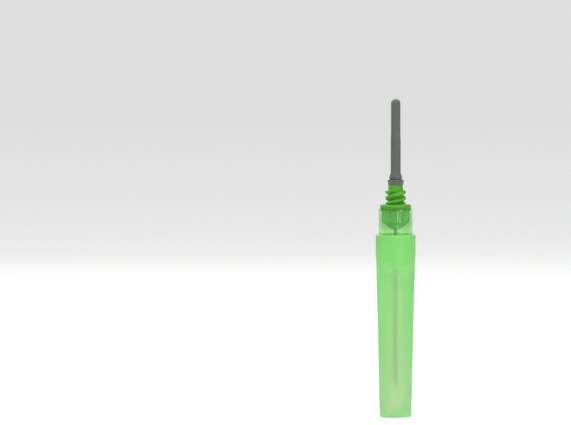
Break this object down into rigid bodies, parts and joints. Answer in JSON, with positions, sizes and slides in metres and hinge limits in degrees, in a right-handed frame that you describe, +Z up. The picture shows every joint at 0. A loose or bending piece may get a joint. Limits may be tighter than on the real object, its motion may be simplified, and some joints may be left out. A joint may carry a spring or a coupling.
{
  "type": "blood collection needle",
  "caption": "Double-ended blood collection needle with a screw-in hub and a rubber sleeve on its rear point, standing in its tapered shield.",
  "frame": {"origin": "centre of the outside of the shield's closed end, on the surface that the object stands on", "axes": "+Z up along the needle, from the shield's closed end to the tip of the rubber sleeve; -Y faces the camera of the picture"},
  "size_m": [0.0094, 0.0094, 0.075],
  "materials": {
    "shield_plastic": "translucent pale green moulded plastic, frosted on the body and polished on the collar",
    "hub_plastic": "opaque leaf-green moulded plastic with a satin surface",
    "needle_steel": "drawn and polished stainless tube with ground points",
    "glue": "clear cured adhesive with a faint straw tint",
    "sleeve_rubber": "smooth dull grey moulded rubber"
  },
  "bodies": {
    "shield": {"needle_shield": "shield_plastic"},
    "needle": {"threaded_hub": "hub_plastic", "cannula": "needle_steel", "glue_bond": "glue"},
    "sleeve": {"rubber_sleeve": "sleeve_rubber"}
  },
  "joints": [
    {"name": "unsheathe", "type": "slide", "parent": "shield", "child": "needle", "axis": [0, 0, 1], "range_m": [0, 0.046]},
    {"name": "sleeve_press", "type": "slide", "parent": "needle", "child": "sleeve", "axis": [0, 0, -1], "range_m": [0, 0.01], "stiffness_N_per_m": 100, "deforming": ["rubber_sleeve"]}
  ]
}
